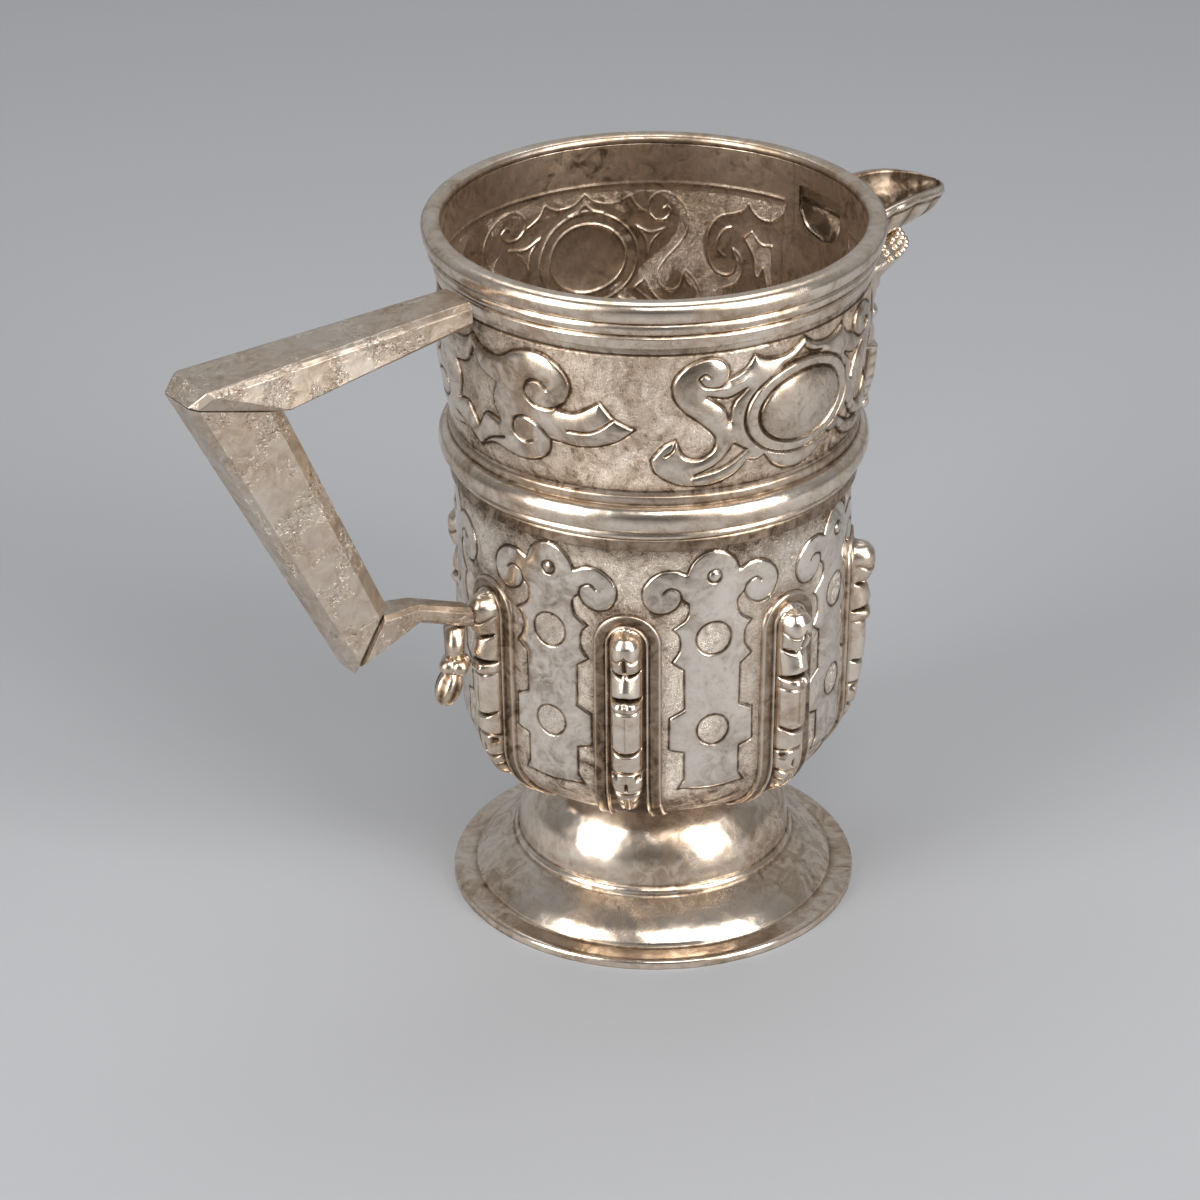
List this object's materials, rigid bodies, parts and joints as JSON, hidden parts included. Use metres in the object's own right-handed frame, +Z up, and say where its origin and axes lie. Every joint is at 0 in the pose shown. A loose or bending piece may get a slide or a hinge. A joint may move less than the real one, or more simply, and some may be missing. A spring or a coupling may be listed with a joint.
{
  "type": "spouted jug",
  "caption": "Tall round silver jug on a stepped foot, with lobed ribs, an embossed upper band, a short open spout and an angular loop handle for pouring water or wine.",
  "frame": {"origin": "on the table, under the middle of the whole length from handle to spout", "axes": "+Z up along the body's axis, +X towards the spout and -X towards the handle, +Y across"},
  "size_m": [0.1942, 0.0988, 0.16],
  "materials": {
    "sheet_silver": "raised silver, worn polish with brown tarnish in the hollows",
    "cast_silver": "cast and chased silver, bright on the high places and dark in the cuts",
    "handle_silver": "silver with a finely pitted, tarnished face and bright worn edges"
  },
  "bodies": {
    "root": {"foot_flange": "sheet_silver", "foot_ogee": "sheet_silver", "foot_dome": "sheet_silver", "foot_collar": "sheet_silver", "lower_bowl": "sheet_silver", "upper_wall": "sheet_silver", "middle_ring": "sheet_silver", "rim_ring": "sheet_silver", "rib_1": "cast_silver", "rib_2": "cast_silver", "rib_3": "cast_silver", "rib_4": "cast_silver", "rib_5": "cast_silver", "rib_6": "cast_silver", "rib_7": "cast_silver", "handle_arm": "handle_silver", "handle_grip": "handle_silver", "handle_strut": "handle_silver", "handle_bud": "cast_silver", "spout": "cast_silver", "spout_ornament": "cast_silver"}
  },
  "joints": []
}
